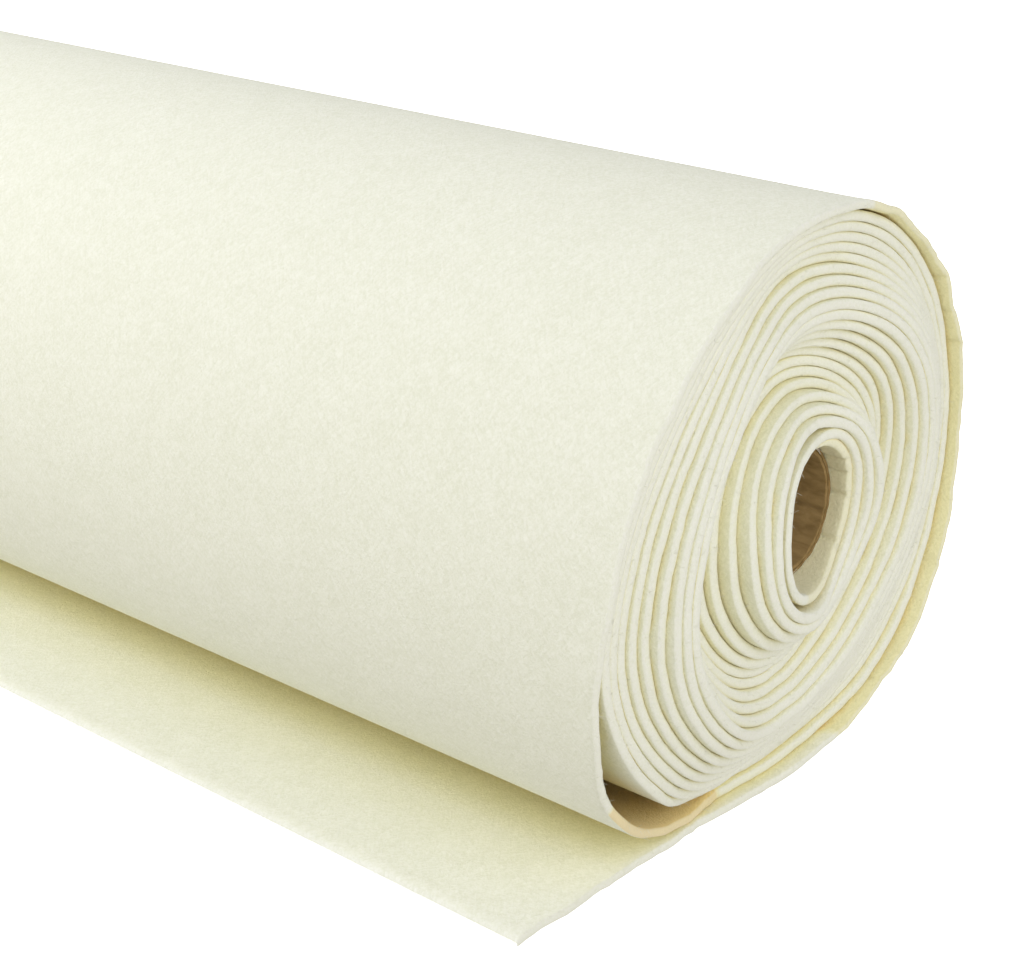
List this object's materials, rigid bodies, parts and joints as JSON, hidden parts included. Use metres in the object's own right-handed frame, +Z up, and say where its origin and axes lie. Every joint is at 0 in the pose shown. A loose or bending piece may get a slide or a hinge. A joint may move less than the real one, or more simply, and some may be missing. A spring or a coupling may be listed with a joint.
{
  "type": "roll of felt",
  "caption": "Thick cream felt wound on a cardboard tube, lying on its side, with uneven telescoped turns at its ends, a slack outer wrap and a flat loose end.",
  "frame": {"origin": "on the surface that the roll lies on, under the middle of its box", "axes": "+X along the roll towards its telescoped end, +Y towards the back, away from the loose end, +Z up"},
  "size_m": [0.9396, 0.2012, 0.1997],
  "materials": {
    "felt": "soft matt needled felt, cream, fibrous surface",
    "core": "plain spiral-wound brown board, matt"
  },
  "bodies": {
    "root": {"felt_roll": "felt", "loose_end": "felt", "core_tube": "core"}
  },
  "joints": []
}
